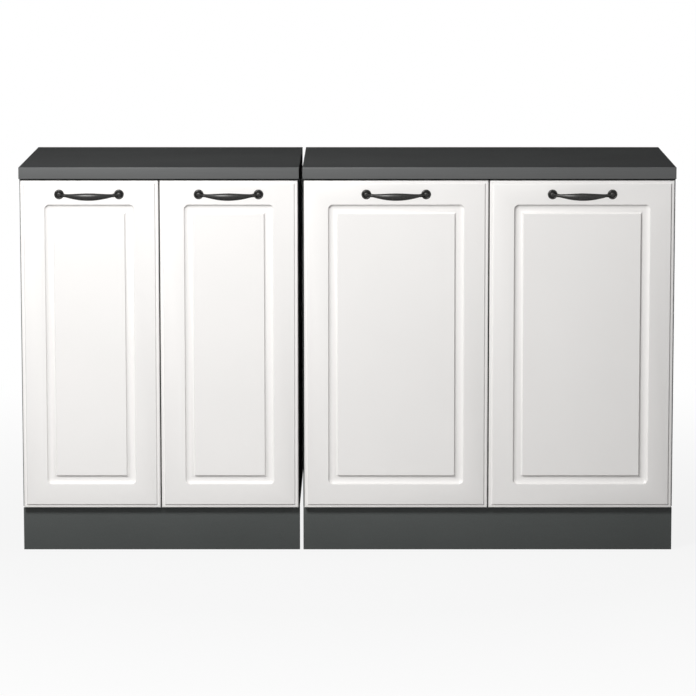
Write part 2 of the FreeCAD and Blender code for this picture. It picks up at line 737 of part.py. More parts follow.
def hinge_arm(face, inward, height):
    """A swan-neck arm: an eye on the pin, a neck out of the cup and a channel over the plate."""
    half = ARM_THICK / 2
    lean = math.radians(OPENING_ANGLE - 90)
    turn_across = PANEL + ARM_OFF_PANEL + half
    turn_ahead = pin_ahead() + (turn_across - pin_across()) * math.tan(lean)
    offset = half / math.cos(lean)
    low, high = height - EYE_WIDTH / 2, height + EYE_WIDTH / 2
    outline = [
        (pin_across(), pin_ahead() + offset), (turn_across, turn_ahead + offset),
        (turn_across + half, turn_ahead), (turn_across + half, -ARM_NOSE - ARM_SHEET),
        (turn_across - half, -ARM_NOSE - ARM_SHEET), (turn_across - half, turn_ahead - offset),
        (pin_across(), pin_ahead() - offset),
    ]
    points = [hinge_point(face, inward, across, ahead, low) for across, ahead in outline]
    neck = prism(points, Z_AXIS * EYE_WIDTH)
    pin = hinge_point(face, inward, pin_across(), pin_ahead(), low)
    eye = rod(EYE_RADIUS, pin, pin + Z_AXIS * EYE_WIDTH)
    crest = PANEL + PLATE_RIB_HEIGHT
    foot = PANEL + ARM_OFF_PANEL
    channel = block(
        (face + inward * foot, face + inward * (crest + ARM_SHEET)),
        (FRONT_Y + ARM_NOSE, FRONT_Y + ARM_LENGTH),
        (height - ARM_WIDTH / 2, height + ARM_WIDTH / 2),
    )
    crest_edges = edges_in_plane(channel, "x", face + inward * (crest + ARM_SHEET))
    channel = channel.makeFillet(ARM_BEND, edges_along(crest_edges, Y_AXIS))
    inside = block(
        (face + inward * (foot - CUT_PAST), face + inward * crest),
        (FRONT_Y + ARM_NOSE + ARM_SHEET, FRONT_Y + ARM_LENGTH + CUT_PAST),
        (height - ARM_WIDTH / 2 + ARM_SHEET, height + ARM_WIDTH / 2 - ARM_SHEET),
    )
    arm = fused([channel.cut(inside), neck, eye])
    drill = rod(PIN_RADIUS + SCREW_PLAY, pin - Z_AXIS * CUT_PAST, pin + Z_AXIS * (EYE_WIDTH + CUT_PAST))
    head = arm_fixing_head(face, inward, height)
    fixing = screw_hole(head, X_AXIS * -inward, WOOD_SCREW_RADIUS, PLATE_RIB_HEIGHT)
    return one_solid(arm.cut([drill, fixing]))


def plate_screw_heads(face, inward, height):
    """Heads of the two screws of a mounting plate, on its wings."""
    return [
        hinge_point(
            face, inward, PANEL + PLATE_THICK, -PLATE_LINE, height + end * PLATE_SCREW_SPREAD / 2
        )
        for end in (-1, 1)
    ]


def mounting_plate(face, inward, height):
    """A cross-shaped plate: two screw wings and a rib that the arm's channel sits over."""
    seat = face + inward * PANEL
    outer = face + inward * (PANEL + PLATE_THICK)
    heads = plate_screw_heads(face, inward, height)
    wings = [
        rod(PLATE_WING_RADIUS, Vector(seat, head.y, head.z), Vector(outer, head.y, head.z))
        for head in heads
    ]
    bridge = block(
        (seat, outer), (heads[0].y - PLATE_WING_RADIUS, heads[0].y + PLATE_WING_RADIUS),
        (heads[0].z, heads[1].z),
    )
    half_rib = ARM_WIDTH / 2 - ARM_SHEET - PLATE_RIB_PLAY
    rib = block(
        (seat, face + inward * (PANEL + PLATE_RIB_HEIGHT)),
        (heads[0].y - PLATE_RIB_LENGTH / 2, heads[0].y + PLATE_RIB_LENGTH / 2),
        (height - half_rib, height + half_rib),
    )
    plate = fused(wings + [bridge, rib])
    holes = [
        screw_hole(head, X_AXIS * -inward, EURO_SCREW_RADIUS, EURO_SCREW_LENGTH) for head in heads
    ]
    head = arm_fixing_head(face, inward, height)
    holes.append(screw_hole(head, X_AXIS * -inward, WOOD_SCREW_RADIUS, PLATE_RIB_HEIGHT))
    return one_solid(plate.cut(holes))


def hinge_screws(face, inward, height):
    """The plate's two screws and the arm's clamping screw."""
    inwards = X_AXIS * -inward
    screws = [
        screw(head, inwards, EURO_SCREW_RADIUS, EURO_SCREW_LENGTH)
        for head in plate_screw_heads(face, inward, height)
    ]
    head = arm_fixing_head(face, inward, height)
    return screws + [screw(head, inwards, WOOD_SCREW_RADIUS, PLATE_RIB_HEIGHT)]


# Legs and plinth

def leg_places(unit):
    """Names and axes of a unit's four legs, on the floor."""
    left, right = UNITS[unit]
    columns = (("left", left + LEG_FROM_SIDE), ("right", right - LEG_FROM_SIDE))
    rows = (("front", FRONT_Y + LEG_FROM_FRONT), ("rear", REAR_Y - LEG_FROM_REAR))
    return [(row + "_" + column, Vector(x, y, 0)) for row, y in rows for column, x in columns]


def socket_screw_heads(unit):
    """Heads of the two screws in opposite corners of each leg socket's flange."""
    reach = SOCKET_FLANGE / 2 - HEAD_RADIUS - SOCKET_SCREW_EDGE
    level = CARCASS_UNDERSIDE - SOCKET_FLANGE_THICK
    return [
        place + Vector(corner * reach, corner * reach, level)
        for _, place in leg_places(unit) for corner in (-1, 1)
    ]


def leg_socket(unit, place):
    """A moulded socket: a square flange under the bottom panel and a tube for the foot."""
    half = SOCKET_FLANGE / 2
    flange = block(
        (place.x - half, place.x + half), (place.y - half, place.y + half),
        (CARCASS_UNDERSIDE - SOCKET_FLANGE_THICK, CARCASS_UNDERSIDE),
    )
    flange = flange.makeFillet(SOCKET_CORNER, edges_along(flange.Edges, Z_AXIS))
    top = place + Z_AXIS * CARCASS_UNDERSIDE
    bottom = place + Z_AXIS * (CARCASS_UNDERSIDE - SOCKET_HEIGHT)
    tube = rod(SOCKET_RADIUS, bottom, top)
    mouth = bottom - Z_AXIS * CUT_PAST
    bore = rod(STEM_RADIUS + STEM_PLAY, mouth, top - Z_AXIS * SOCKET_FLANGE_THICK)
    socket = fused([flange, tube]).cut(bore)
    holes = [
        screw_hole(head, Z_AXIS, WOOD_SCREW_RADIUS, WOOD_SCREW_LENGTH)
        for head in socket_screw_heads(unit)
        if abs(head.x - place.x) < half and abs(head.y - place.y) < half
    ]
    return one_solid(socket.cut(holes))


def foot(place):
    """A screw-in foot: a notched disc on the floor and a stem that turns in the socket."""
    stem_top = CARCASS_UNDERSIDE - SOCKET_FLANGE_THICK - STEM_PLAY
    profile = [
        (0, 0), (FOOT_RADIUS - FOOT_ROUND, 0), (FOOT_RADIUS, FOOT_ROUND),
        (FOOT_RADIUS, FOOT_THICK), (STEM_RADIUS, FOOT_THICK + FOOT_CONE),
        (STEM_RADIUS, stem_top - STEM_BEVEL), (STEM_RADIUS - STEM_BEVEL, stem_top), (0, stem_top),
    ]
    body = turned(profile, place, Z_AXIS)
    notches = []
    for step in range(FOOT_NOTCHES):
        angle = 2 * math.pi * step / FOOT_NOTCHES
        edge = place + Vector(math.cos(angle), math.sin(angle), 0) * (FOOT_RADIUS + FOOT_NOTCH_OUT)
        top = edge + Z_AXIS * (FOOT_THICK + FOOT_CONE)
        notches.append(rod(FOOT_NOTCH_RADIUS, edge + Z_AXIS * FOOT_ROUND, top))
    return one_solid(body.cut(notches))


def plinth_limits():
    return PLINTH_FLOOR_GAP, CARCASS_UNDERSIDE - PLINTH_TOP_GAP


def plinth(unit):
    board = block(UNITS[unit], (FRONT_Y, FRONT_Y + PLINTH_THICK), plinth_limits())
    holes = [
        screw_hole(
            Vector(head.x, FRONT_Y + PLINTH_THICK, head.z), -Y_AXIS, WOOD_SCREW_RADIUS,
            WOOD_SCREW_LENGTH - CLIP_PLATE_THICK,
        )
        for head in clip_screw_heads(unit)
    ]
    return one_solid(board.cut(holes))


def clip_level():
    """Middle height of the plinth clips, on the lower half of the socket tubes."""
    return CARCASS_UNDERSIDE - SOCKET_HEIGHT + CLIP_ABOVE_SOCKET_END + CLIP_HEIGHT / 2


def front_legs(unit):
    return [place for name, place in leg_places(unit) if name.startswith("front")]


def clip_screw_heads(unit):
    """Heads of the two screws in each plinth clip's base plate."""
    reach = CLIP_PLATE_WIDTH / 2 - HEAD_RADIUS - CLIP_SCREW_EDGE
    back = FRONT_Y + PLINTH_THICK + CLIP_PLATE_THICK
    return [
        Vector(place.x + end * reach, back, clip_level())
        for place in front_legs(unit) for end in (-1, 1)
    ]


def plinth_clip(unit, place):
    """A spring clip: a base plate on the plinth, a neck and a ring that grips the socket."""
    low, high = clip_level() - CLIP_HEIGHT / 2, clip_level() + CLIP_HEIGHT / 2
    inner = SOCKET_RADIUS + CLIP_PLAY
    axis = Vector(place.x, place.y, low)
    ring = rod(inner + CLIP_WALL, axis, axis + Z_AXIS * CLIP_HEIGHT)
    back = FRONT_Y + PLINTH_THICK
    plate = block(
        (place.x - CLIP_PLATE_WIDTH / 2, place.x + CLIP_PLATE_WIDTH / 2),
        (back, back + CLIP_PLATE_THICK), (low, high),
    )
    neck = block((place.x - CLIP_NECK / 2, place.x + CLIP_NECK / 2), (back, place.y - inner), (low, high))
    below = axis - Z_AXIS * CUT_PAST
    through = Z_AXIS * (CLIP_HEIGHT + 2 * CUT_PAST)
    bore = rod(inner, below, below + through)
    half_mouth = math.radians(CLIP_MOUTH_ANGLE / 2)
    depth = inner + CLIP_WALL + CUT_PAST
    width = depth * math.tan(half_mouth)
    mouth = prism([below, below + Vector(width, depth, 0), below + Vector(-width, depth, 0)], through)
    clip = fused([plate, neck, ring]).cut([bore, mouth])
    holes = [
        screw_hole(head, -Y_AXIS, WOOD_SCREW_RADIUS, WOOD_SCREW_LENGTH)
        for head in clip_screw_heads(unit) if abs(head.x - place.x) < CLIP_PLATE_WIDTH / 2
    ]
    return one_solid(clip.cut(holes))


# Buffers

def buffer_places(unit):
    """Where the soft buffers sit: on the front rail and the bottom, near the meeting edges."""
    middle = sum(UNITS[unit]) / 2
    return [
        Vector(middle + end * BUFFER_FROM_MEETING, FRONT_Y, z)
        for z in (CARCASS_UNDERSIDE + PANEL / 2, CARCASS_TOP - PANEL / 2) for end in (-1, 1)
    ]


def buffer(place):
    """A domed buffer that the closed door rests on."""
    height = DOOR_GAP - BUFFER_PLAY
    profile = [(0, 0), (BUFFER_RADIUS, 0), (BUFFER_RADIUS, BUFFER_EDGE)]
    return turned(profile, place, -Y_AXIS, [dome(BUFFER_RADIUS, BUFFER_EDGE, height)])


def both_units(make):
    """The solids that make(unit) gives, for the two units together."""
    return [solid for unit in UNITS for solid in make(unit)]


def all_hinges(make):
    """One make(face, inward, height) for each hinge of the four doors."""
    return [
        make(face, inward, height)
        for _, _, face, inward in hinge_sides() for height in HINGE_HEIGHTS
    ]


def nodes():
    """Every named piece, or group of like pieces."""
    pieces = {}
    for unit in UNITS:
        for side, face, inward in sides_of(unit):
            pieces[f"{unit}_{side}_side"] = side_panel(unit, face, inward)
        pieces[f"{unit}_bottom_panel"] = bottom_panel(unit)
        for row in rail_rows():
            pieces[f"{unit}_{row}_rail"] = top_rail(unit, row)
        pieces[f"{unit}_back_panel"] = back_panel(unit)
        pieces[f"{unit}_shelf"] = shelf(unit)
        pieces[f"{unit}_worktop"] = worktop(unit)
        pieces[f"{unit}_worktop_edging"] = worktop_edging(unit)
        pieces[f"{unit}_plinth"] = plinth(unit)
        for name, place in leg_places(unit):
            pieces[f"{unit}_{name}_foot"] = foot(place)
    for unit, side, face, inward in hinge_sides():
        name = f"{unit}_{side}"
        pieces[f"{name}_door"] = door(unit, side, face, inward)
        pieces[f"{name}_handle"] = handle(unit, side)
        pieces[f"{name}_door_screws"] = door_screws(unit, side, face, inward)
        pieces[f"{name}_hinge_cups"] = [hinge_cup(face, inward, z) for z in HINGE_HEIGHTS]
        pieces[f"{name}_hinge_pins"] = [hinge_pin(face, inward, z) for z in HINGE_HEIGHTS]
    pieces["hinge_arms"] = all_hinges(hinge_arm)
    pieces["hinge_plates"] = all_hinges(mounting_plate)
    pieces["hinge_screws"] = sum(all_hinges(hinge_screws), [])
    pieces["shelf_pins"] = both_units(lambda unit: [shelf_pin(*p) for p in shelf_pin_places(unit)])
    pieces["carcass_screws"] = both_units(carcass_screws)
    pieces["worktop_screws"] = both_units(lambda unit: [
        screw(head, Z_AXIS, WOOD_SCREW_RADIUS, WORKTOP_SCREW_LENGTH)
        for head in worktop_screw_heads(unit)
    ])
    pieces["leg_sockets"] = both_units(lambda unit: [
        leg_socket(unit, place) for _, place in leg_places(unit)
    ])
    pieces["leg_socket_screws"] = both_units(lambda unit: [
        screw(head, Z_AXIS, WOOD_SCREW_RADIUS, WOOD_SCREW_LENGTH)
        for head in socket_screw_heads(unit)
    ])
    pieces["plinth_clips"] = both_units(lambda unit: [
        plinth_clip(unit, place) for place in front_legs(unit)
    ])
    pieces["plinth_clip_screws"] = both_units(lambda unit: [
        screw(head, -Y_AXIS, WOOD_SCREW_RADIUS, WOOD_SCREW_LENGTH)
        for head in clip_screw_heads(unit)
    ])
    pieces["door_buffers"] = both_units(lambda unit: [buffer(p) for p in buffer_places(unit)])
    return pieces


os.makedirs("parts", exist_ok=True)
for node, piece in nodes().items():
    shape = Part.makeCompound(piece) if isinstance(piece, list) else piece
    shape.exportStep(f"parts/{node}.step")
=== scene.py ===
import math

import bmesh
import bpy
from bpy.props import FloatProperty, FloatVectorProperty, IntProperty, PointerProperty
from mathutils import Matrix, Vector


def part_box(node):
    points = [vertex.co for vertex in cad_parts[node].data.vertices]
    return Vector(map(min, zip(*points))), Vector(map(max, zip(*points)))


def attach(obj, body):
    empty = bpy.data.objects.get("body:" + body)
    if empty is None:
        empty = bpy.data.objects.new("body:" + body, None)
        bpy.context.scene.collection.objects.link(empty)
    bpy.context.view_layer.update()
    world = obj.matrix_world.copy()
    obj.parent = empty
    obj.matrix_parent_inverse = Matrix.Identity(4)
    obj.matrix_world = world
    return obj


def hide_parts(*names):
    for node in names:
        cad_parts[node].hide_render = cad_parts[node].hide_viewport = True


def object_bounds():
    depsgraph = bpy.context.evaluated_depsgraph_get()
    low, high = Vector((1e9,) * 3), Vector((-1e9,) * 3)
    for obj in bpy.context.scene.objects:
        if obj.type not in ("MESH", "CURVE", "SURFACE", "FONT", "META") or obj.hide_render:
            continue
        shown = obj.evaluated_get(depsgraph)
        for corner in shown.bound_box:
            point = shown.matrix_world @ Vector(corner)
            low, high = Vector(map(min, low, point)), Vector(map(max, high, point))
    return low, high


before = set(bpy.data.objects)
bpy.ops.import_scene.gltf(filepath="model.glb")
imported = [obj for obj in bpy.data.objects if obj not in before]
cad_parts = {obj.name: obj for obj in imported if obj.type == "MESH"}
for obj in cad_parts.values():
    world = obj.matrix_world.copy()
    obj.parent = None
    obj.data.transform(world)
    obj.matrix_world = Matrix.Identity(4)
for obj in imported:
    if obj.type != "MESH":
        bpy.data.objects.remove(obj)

bl_info = {
    "name": "Kitchen base units",
    "version": (1, 0, 0),
    "blender": (4, 5, 0),
    "location": "3D View > Sidebar > Kitchen",
    "description": "Makes the fronts, tops and finishes of a narrow and a wide kitchen base unit",
    "category": "Object",
}

CAD_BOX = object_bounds()
MM = 0.001
UNITS = ("narrow", "wide")
SIDES = ("left", "right")
DOORS = [(unit, side) for unit in UNITS for side in SIDES]
SMOOTH_BELOW = math.radians(35)


def linear(code):
    """An sRGB hex colour as linear red, green, blue and alpha."""
    shares = [int(code[place:place + 2], 16) / 255 for place in (1, 3, 5)]
    return [s / 12.92 if s <= 0.04045 else ((s + 0.055) / 1.055) ** 2.4 for s in shares] + [1.0]


def length(name, description, millimetres):
    """A length that a user can set, given in millimetres and kept in metres."""
    return FloatProperty(name=name, description=description, default=millimetres * MM,
                         min=0.0, precision=4, unit="LENGTH")


def colour(name, description, code):
    """A colour that a user can set, given as an sRGB hex value."""
    return FloatVectorProperty(name=name, description=description, default=linear(code),
                               size=4, min=0.0, max=1.0, subtype="COLOR")


def count(name, description, number):
    """A number of facets that a user can set."""
    return IntProperty(name=name, description=description, default=number, min=1, max=128)


class DoorSizes(bpy.types.PropertyGroup):
    """Sizes of the framed doors"""
    frame_width: length("Frame width", "From the door's edge to the moulding", 52.0)
    moulding_width: length("Moulding width", "Across the round-bottomed groove", 20.5)
    moulding_depth: length("Moulding depth", "Depth of the groove at its middle", 6.5)
    moulding_flank: length("Moulding flank", "Radius of the groove's two steep sides", 4.5)
    moulding_steps: count("Moulding steps", "Facets across half of the groove", 10)
    lip_width: length("Lip width", "Width of the lowered lip round the door", 6.6)
    lip_depth: length("Lip depth", "How far the lip lies below the field", 3.2)
    lip_round: length("Lip rounding", "Radius of the door's outer front edge", 3.0)
    lip_slope: length("Lip slope", "Width of the slope from the lip up to the field", 2.4)
    back_round: length("Back rounding", "Radius of the door's back edges", 0.6)
    cup_radius: length("Cup bore", "Radius of the bores for the hinge cups", 17.55)
    cup_depth: length("Cup bore depth", "Depth of the bores for the hinge cups", 12.4)
    cup_from_edge: length("Cup to edge", "From the door's edge to a cup bore", 3.0)
    hinge_from_end: length("Hinge height", "From the door's top and bottom to the hinges", 100.0)


class HandleSizes(bpy.types.PropertyGroup):
    """Sizes of the bow handles"""
    centres: length("Centres", "Between the two fixing screws", 128.0)
    droop: length("Droop", "How far the grip hangs below its ends", 3.5)
    grip_height: length("Grip height", "Height of the grip at its middle", 16.0)
    grip_depth: length("Grip depth", "Depth of the grip at its middle", 11.0)
    neck: length("Neck", "Thickness of the grip at its ends", 5.4)
    bead: length("Bead", "How far the bead beside each rosette stands out", 1.2)
    rosette_radius: length("Rosette radius", "Radius of the round ends", 10.5)
    rosette_height: length("Rosette height", "Height of the round ends", 9.0)
    grain: length("Casting grain", "Size of the cells that the casting is remeshed to", 0.5)


class BoardSizes(bpy.types.PropertyGroup):
    """Edges of the worktops and plinths"""
    top_round: length("Worktop rounding", "Radius of the worktop's end edges", 0.8)
    edging_round: length("Edging rounding", "Radius of the worktop edging", 1.5)
    plinth_round: length("Plinth rounding", "Radius of the plinth's edges", 0.8)


class Finishes(bpy.types.PropertyGroup):
    """Colours of the finishes"""
    door_foil: colour("Door foil", "Satin white foil of the doors", "#f1efed")
    worktop_laminate: colour("Worktop", "Anthracite laminate of the worktops", "#444545")
    worktop_edging: colour("Edging", "Grey edging on the worktops' fronts", "#555656")
    plinth_board: colour("Plinth", "Anthracite facing of the plinths", "#454847")
    # The carcass's anthracite is drawn darker than the plinth's: painted shade for the reveals and gaps
    # where it shows.
    carcass_board: colour("Carcass", "Anthracite facing of the carcass boards", "#2f3131")
    black_handle: colour("Handles", "Blackened casting of the handles", "#303030")
    # Paler metal on the handles' ridges and high spots: partly rubbed wear, partly painted highlight.
    handle_wear: colour("Handle wear", "Rubbed high spots of the handles", "#63615e")
    raw_board: colour("Raw board", "Bare particle board where no facing covers it", "#a98a63")
    raw_back: colour("Raw back", "Bare rear face of the back panels", "#7a5a3e")


class Studio(bpy.types.PropertyGroup):
    """Light and camera"""
    key_power: FloatProperty(name="Key light", description="Power of the soft light at the upper left",
                             default=95.5, min=0.0, unit="POWER")
    rear_power: FloatProperty(name="Rear light", description="Power of the soft light behind",
                              default=60.0, min=0.0, unit="POWER")
    sky: FloatProperty(name="Sky", description="Strength of the even light all round",
                       default=0.1, min=0.0)
    lens: FloatProperty(name="Lens", description="Focal length of the camera",
                        default=179.23, min=1.0, unit="CAMERA")
    pitch: FloatProperty(name="Pitch", description="How far the camera looks down",
                         default=math.radians(7.573), unit="ROTATION")


class KitchenUnits(bpy.types.PropertyGroup):
    """All that can be set on the two units"""
    door: PointerProperty(type=DoorSizes)
    handle: PointerProperty(type=HandleSizes)
    board: PointerProperty(type=BoardSizes)
    finish: PointerProperty(type=Finishes)
    studio: PointerProperty(type=Studio)


def settings():
    """The sizes, colours and lights that are set on the scene."""
    return bpy.context.scene.kitchen_units


# Modelling helpers

def rest_all():
    """Leaves edit mode and selects nothing."""
    if bpy.context.mode != "OBJECT":
        bpy.ops.object.mode_set(mode="OBJECT")
    bpy.ops.object.select_all(action="DESELECT")


def take(*pieces):
    """Selects these pieces alone, the first one active."""
    rest_all()
    for piece in pieces:
        piece.select_set(True)
    bpy.context.view_layer.objects.active = pieces[0]


def edit(piece, kind):
    """Opens a piece in edit mode with nothing selected; kind is VERT, EDGE or FACE."""
    take(piece)
    bpy.ops.object.mode_set(mode="EDIT")
    bpy.ops.mesh.select_mode(type=kind)
    bpy.ops.mesh.select_all(action="DESELECT")


def pick(piece, kind, wanted):
    """Selects, in edit mode, the verts, edges or faces that wanted() accepts, and nothing else."""
    bpy.ops.mesh.select_all(action="DESELECT")
    mesh = bmesh.from_edit_mesh(piece.data)
    for part in getattr(mesh, kind):
        if wanted(part):
            part.select_set(True)
    mesh.select_flush_mode()
    bmesh.update_edit_mesh(piece.data)


def at(value, place):
    """Whether two measures are the same to a hundredth of a millimetre."""
    return abs(value - place) < 0.01 * MM


def edges_at(piece, axis, place):
    """Selects the edges that lie in the plane axis = place."""
    pick(piece, "edges", lambda edge: all(at(vert.co[axis], place) for vert in edge.verts))


def settle(piece, name):
    """Names a piece and moves its place into its mesh."""
    piece.name = name
    bpy.ops.object.transform_apply(location=True, rotation=True, scale=True)
    return piece


def block(name, low, high):
    """A box between two corners."""
    rest_all()
    bpy.ops.mesh.primitive_cube_add(size=1, location=(low + high) / 2, scale=high - low)
    return settle(bpy.context.object, name)


def rod(name, radius, start, end, sides=64):
    """A round bar from one point to another."""
    rest_all()
    run = end - start
    bpy.ops.mesh.primitive_cylinder_add(
        vertices=sides, radius=radius, depth=run.length, location=(start + end) / 2,
        rotation=run.to_track_quat("Z", "Y").to_euler())
    return settle(bpy.context.object, name)


def stacked(name, axis, rings, sides):
    """A closed body through oval rings: one ring is extruded to the next and resized there.
    A ring is its centre and its two half widths across the axis."""
    across = [place for place in range(3) if place != axis]

    def scale(first, second):
        value = [1.0, 1.0, 1.0]
        value[across[0]], value[across[1]] = first, second
        return value

    centre, first, second = rings[0]
    turn = ((0, math.pi / 2, 0), (math.pi / 2, 0, 0), (0, 0, 0))[axis]
    rest_all()
    bpy.ops.mesh.primitive_circle_add(vertices=sides, radius=1, fill_type="NGON",
                                      location=centre, rotation=turn)
    piece = settle(bpy.context.object, name)
    bpy.ops.object.mode_set(mode="EDIT")
    bpy.ops.mesh.select_mode(type="FACE")
    bpy.ops.mesh.select_all(action="SELECT")
    bpy.ops.transform.resize(value=scale(first, second), center_override=centre)
    for last, ring in zip(rings, rings[1:]):
        bpy.ops.mesh.extrude_region_move(TRANSFORM_OT_translate={"value": ring[0] - last[0]})
        bpy.ops.transform.resize(value=scale(ring[1] / last[1], ring[2] / last[2]),
                                 center_override=ring[0])
    bpy.ops.mesh.select_all(action="SELECT")
    bpy.ops.mesh.normals_make_consistent(inside=False)
    bpy.ops.object.mode_set(mode="OBJECT")
    return piece


def apply_modifiers(piece):
    """Turns a piece's modifiers into its mesh, in their order."""
    take(piece)
    for modifier in list(piece.modifiers):
        bpy.ops.object.modifier_apply(modifier=modifier.name)


def cut(piece, *cutters):
    """Takes the cutters out of a piece and deletes them."""
    for cutter in cutters:
        modifier = piece.modifiers.new("cut", "BOOLEAN")
        modifier.operation = "DIFFERENCE"
        modifier.solver = "EXACT"
        modifier.object = cutter
    apply_modifiers(piece)
    take(*cutters)
    bpy.ops.object.delete()


def smooth(piece):
    """Shades the rounded edges smooth and keeps the sharp ones."""
    take(piece)
    bpy.ops.object.shade_smooth_by_angle(angle=SMOOTH_BELOW)


def copy_of(piece, name, step):
    """A copy with a mesh of its own, moved by step in its mesh."""
    take(piece)
    bpy.ops.object.duplicate(linked=False)
    bpy.ops.transform.translate(value=step)
    return settle(bpy.context.object, name)


def dress(piece, slot, body, *nodes):
    """Gives a finished piece its finish, its body and the nodes that it stands for."""
    piece.data.name = piece.name
    piece.data.materials.clear()
    piece.data.materials.append(finish(slot))
    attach(piece, body)
    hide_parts(*nodes)


# Materials

def node(tree, kind, values=None, links=None, **options):
    """Adds a node: values and links go to its input sockets, options to its settings."""
    made = tree.nodes.new("ShaderNode" + kind)
    for key, value in options.items():
        setattr(made, key, value)
    for key, value in (values or {}).items():
        made.inputs[key].default_value = value
    for key, source in (links or {}).items():
        tree.links.new(source, made.inputs[key])
    return made


def per(millimetres):
    """The texture scale that repeats once in so many millimetres."""
    return 1 / (millimetres * MM)


def shade(base, share):
    """A colour made lighter or darker by a share."""
    return [min(1.0, channel * share) for channel in base[:3]] + [1.0]


def ramp(tree, source, low, high, start=0.3, end=0.7):
    """Colours that run from low to high over the given stretch of a pattern."""
    made = node(tree, "ValToRGB", links={"Fac": source})
    made.color_ramp.elements[0].position = start
    made.color_ramp.elements[0].color = low
    made.color_ramp.elements[1].position = end
    made.color_ramp.elements[1].color = high
    return made.outputs["Color"]


def surface(tree, links, values):
    """The shader and the output of a finish."""
    shader = node(tree, "BsdfPrincipled", values, links)
    node(tree, "OutputMaterial", links={"Surface": shader.outputs["BSDF"]})


def noise(tree, place, size, detail=2.0, roughness=0.5):
    """A soft random pattern with patches of the given size in millimetres."""
    made = node(tree, "TexNoise", {"Scale": per(size), "Detail": detail, "Roughness": roughness},
                {"Vector": place})
    return made.outputs["Fac"]


def spread(tree, source, low, high):
    """A pattern stretched to run between two values."""
    made = node(tree, "MapRange", {"To Min": low, "To Max": high}, {"Value": source})
    return made.outputs["Result"]


def relief(tree, source, depth, strength):
    """Bump from a pattern; depth is in millimetres."""
    made = node(tree, "Bump", {"Distance": depth * MM, "Strength": strength}, {"Height": source})
    return made.outputs["Normal"]


def satin_foil(tree, place, base):
    """PVC foil pressed over board: even warm white with the faint orange peel of the press."""
    # The real peel is about 1.5 mm; it is drawn at 4 mm so that it shows.
    peel = noise(tree, place, 4.0)
    cloud = noise(tree, place, 260.0, 3.0)
    surface(tree, {
        "Base Color": ramp(tree, cloud, shade(base, 0.975), base),
        "Roughness": spread(tree, peel, 0.36, 0.46),
        "Normal": relief(tree, peel, 0.08, 0.12),
    }, {"IOR": 1.5, "Specular IOR Level": 0.4})


def pearl_grain(tree, place, base, size):
    """Colour and height of a dark facing with a fine pearl pressed into it."""
    grain = noise(tree, place, size, 3.0, 0.6)
    cloud = noise(tree, place, 180.0)
    mixed = node(tree, "Mix", {"Factor": 0.6}, {"A": cloud, "B": grain}).outputs["Result"]
    return ramp(tree, mixed, shade(base, 0.88), shade(base, 1.1)), grain


def rear_mask(tree):
    """One where a board's face looks to the rear, where boards are left raw."""
    normal = node(tree, "TexCoord").outputs["Normal"]
    parts = node(tree, "SeparateXYZ", links={"Vector": normal})
    return node(tree, "Math", {1: 0.9}, {0: parts.outputs["Y"]}, operation="GREATER_THAN").outputs[0]


def raw_chips(tree, place):
    """Bare particle board: pale and brown chips a few millimetres long."""
    base = list(settings().finish.raw_board)
    chips = node(tree, "TexVoronoi", {"Scale": per(4.0)}, {"Vector": place}).outputs["Color"]
    return ramp(tree, chips, shade(base, 0.6), shade(base, 1.25), 0.1, 0.9)


def faced(tree, place, base, size, roughness, ior, raw_rear):
    """Board faced with melamine or laminate, its rear edge raw where raw_rear says so."""
    tone, grain = pearl_grain(tree, place, base, size)
    if raw_rear:
        mixed = node(tree, "Mix", data_type="RGBA")
        for socket, source in ((0, rear_mask(tree)), (6, tone), (7, raw_chips(tree, place))):
            tree.links.new(source, mixed.inputs[socket])
        tone = mixed.outputs[2]
    surface(tree, {
        "Base Color": tone,
        "Roughness": spread(tree, grain, roughness - 0.06, roughness + 0.06),
        "Normal": relief(tree, grain, 0.1, 0.15),
    }, {"IOR": ior})


def carcass_facing(tree, place, base):
    """Anthracite melamine on particle board: a dry sheen broken by a fine pearl, its tone darkened as
    painted shade for the reveals and gaps.
    """
    # The real pearl is about 0.7 mm; it is drawn at 2.5 mm so that it shows.
    faced(tree, place, base, 2.5, 0.7, 1.15, True)


def matt_laminate(tree, place, base):
    """High-pressure laminate with a super-matt face: dark, with hardly any gloss even at a low angle."""
    # The real grain is about 0.5 mm; it is drawn at 2 mm so that it shows. Its pores swallow the
    # gloss at a low angle, so the IOR is far below the resin's own.
    faced(tree, place, base, 2.0, 0.85, 1.02, True)


def plinth_facing(tree, place, base):
    """Anthracite melamine on the plinth: as the carcass, a little lighter, since the carcass's tone is
    darkened as painted shade.
    """
    faced(tree, place, base, 2.5, 0.55, 1.35, False)


def edging_strip(tree, place, base):
    """Extruded ABS edging: smoother and lighter than the laminate, with fine lines along its run."""
    along = node(tree, "Mapping", {"Scale": (0.01, 1.0, 1.0)}, {"Vector": place}).outputs["Vector"]
    lines = noise(tree, along, 1.2, 2.0)
    surface(tree, {
        "Base Color": ramp(tree, lines, shade(base, 0.95), shade(base, 1.05)),
        "Roughness": spread(tree, lines, 0.38, 0.46),
        "Normal": relief(tree, lines, 0.05, 0.1),
    }, {"IOR": 1.53, "Specular IOR Level": 0.35})


def hardboard(tree, place, base):
    """Thin hardboard: lacquered dark inside, bare brown fibre with a pressed mesh behind."""
    raw = list(settings().finish.raw_back)
    fibre = noise(tree, place, 6.0, 6.0, 0.7)
    bare = ramp(tree, fibre, shade(raw, 0.75), shade(raw, 1.2))
    mixed = node(tree, "Mix", data_type="RGBA")
    lacquer, _ = pearl_grain(tree, place, base, 3.0)
    for socket, source in ((0, rear_mask(tree)), (6, lacquer), (7, bare)):
        tree.links.new(source, mixed.inputs[socket])
    surface(tree, {
        "Base Color": mixed.outputs[2],
        "Roughness": spread(tree, fibre, 0.5, 0.75),
        "Normal": relief(tree, fibre, 0.15, 0.3),
    }, {"IOR": 1.5, "Specular IOR Level": 0.25})


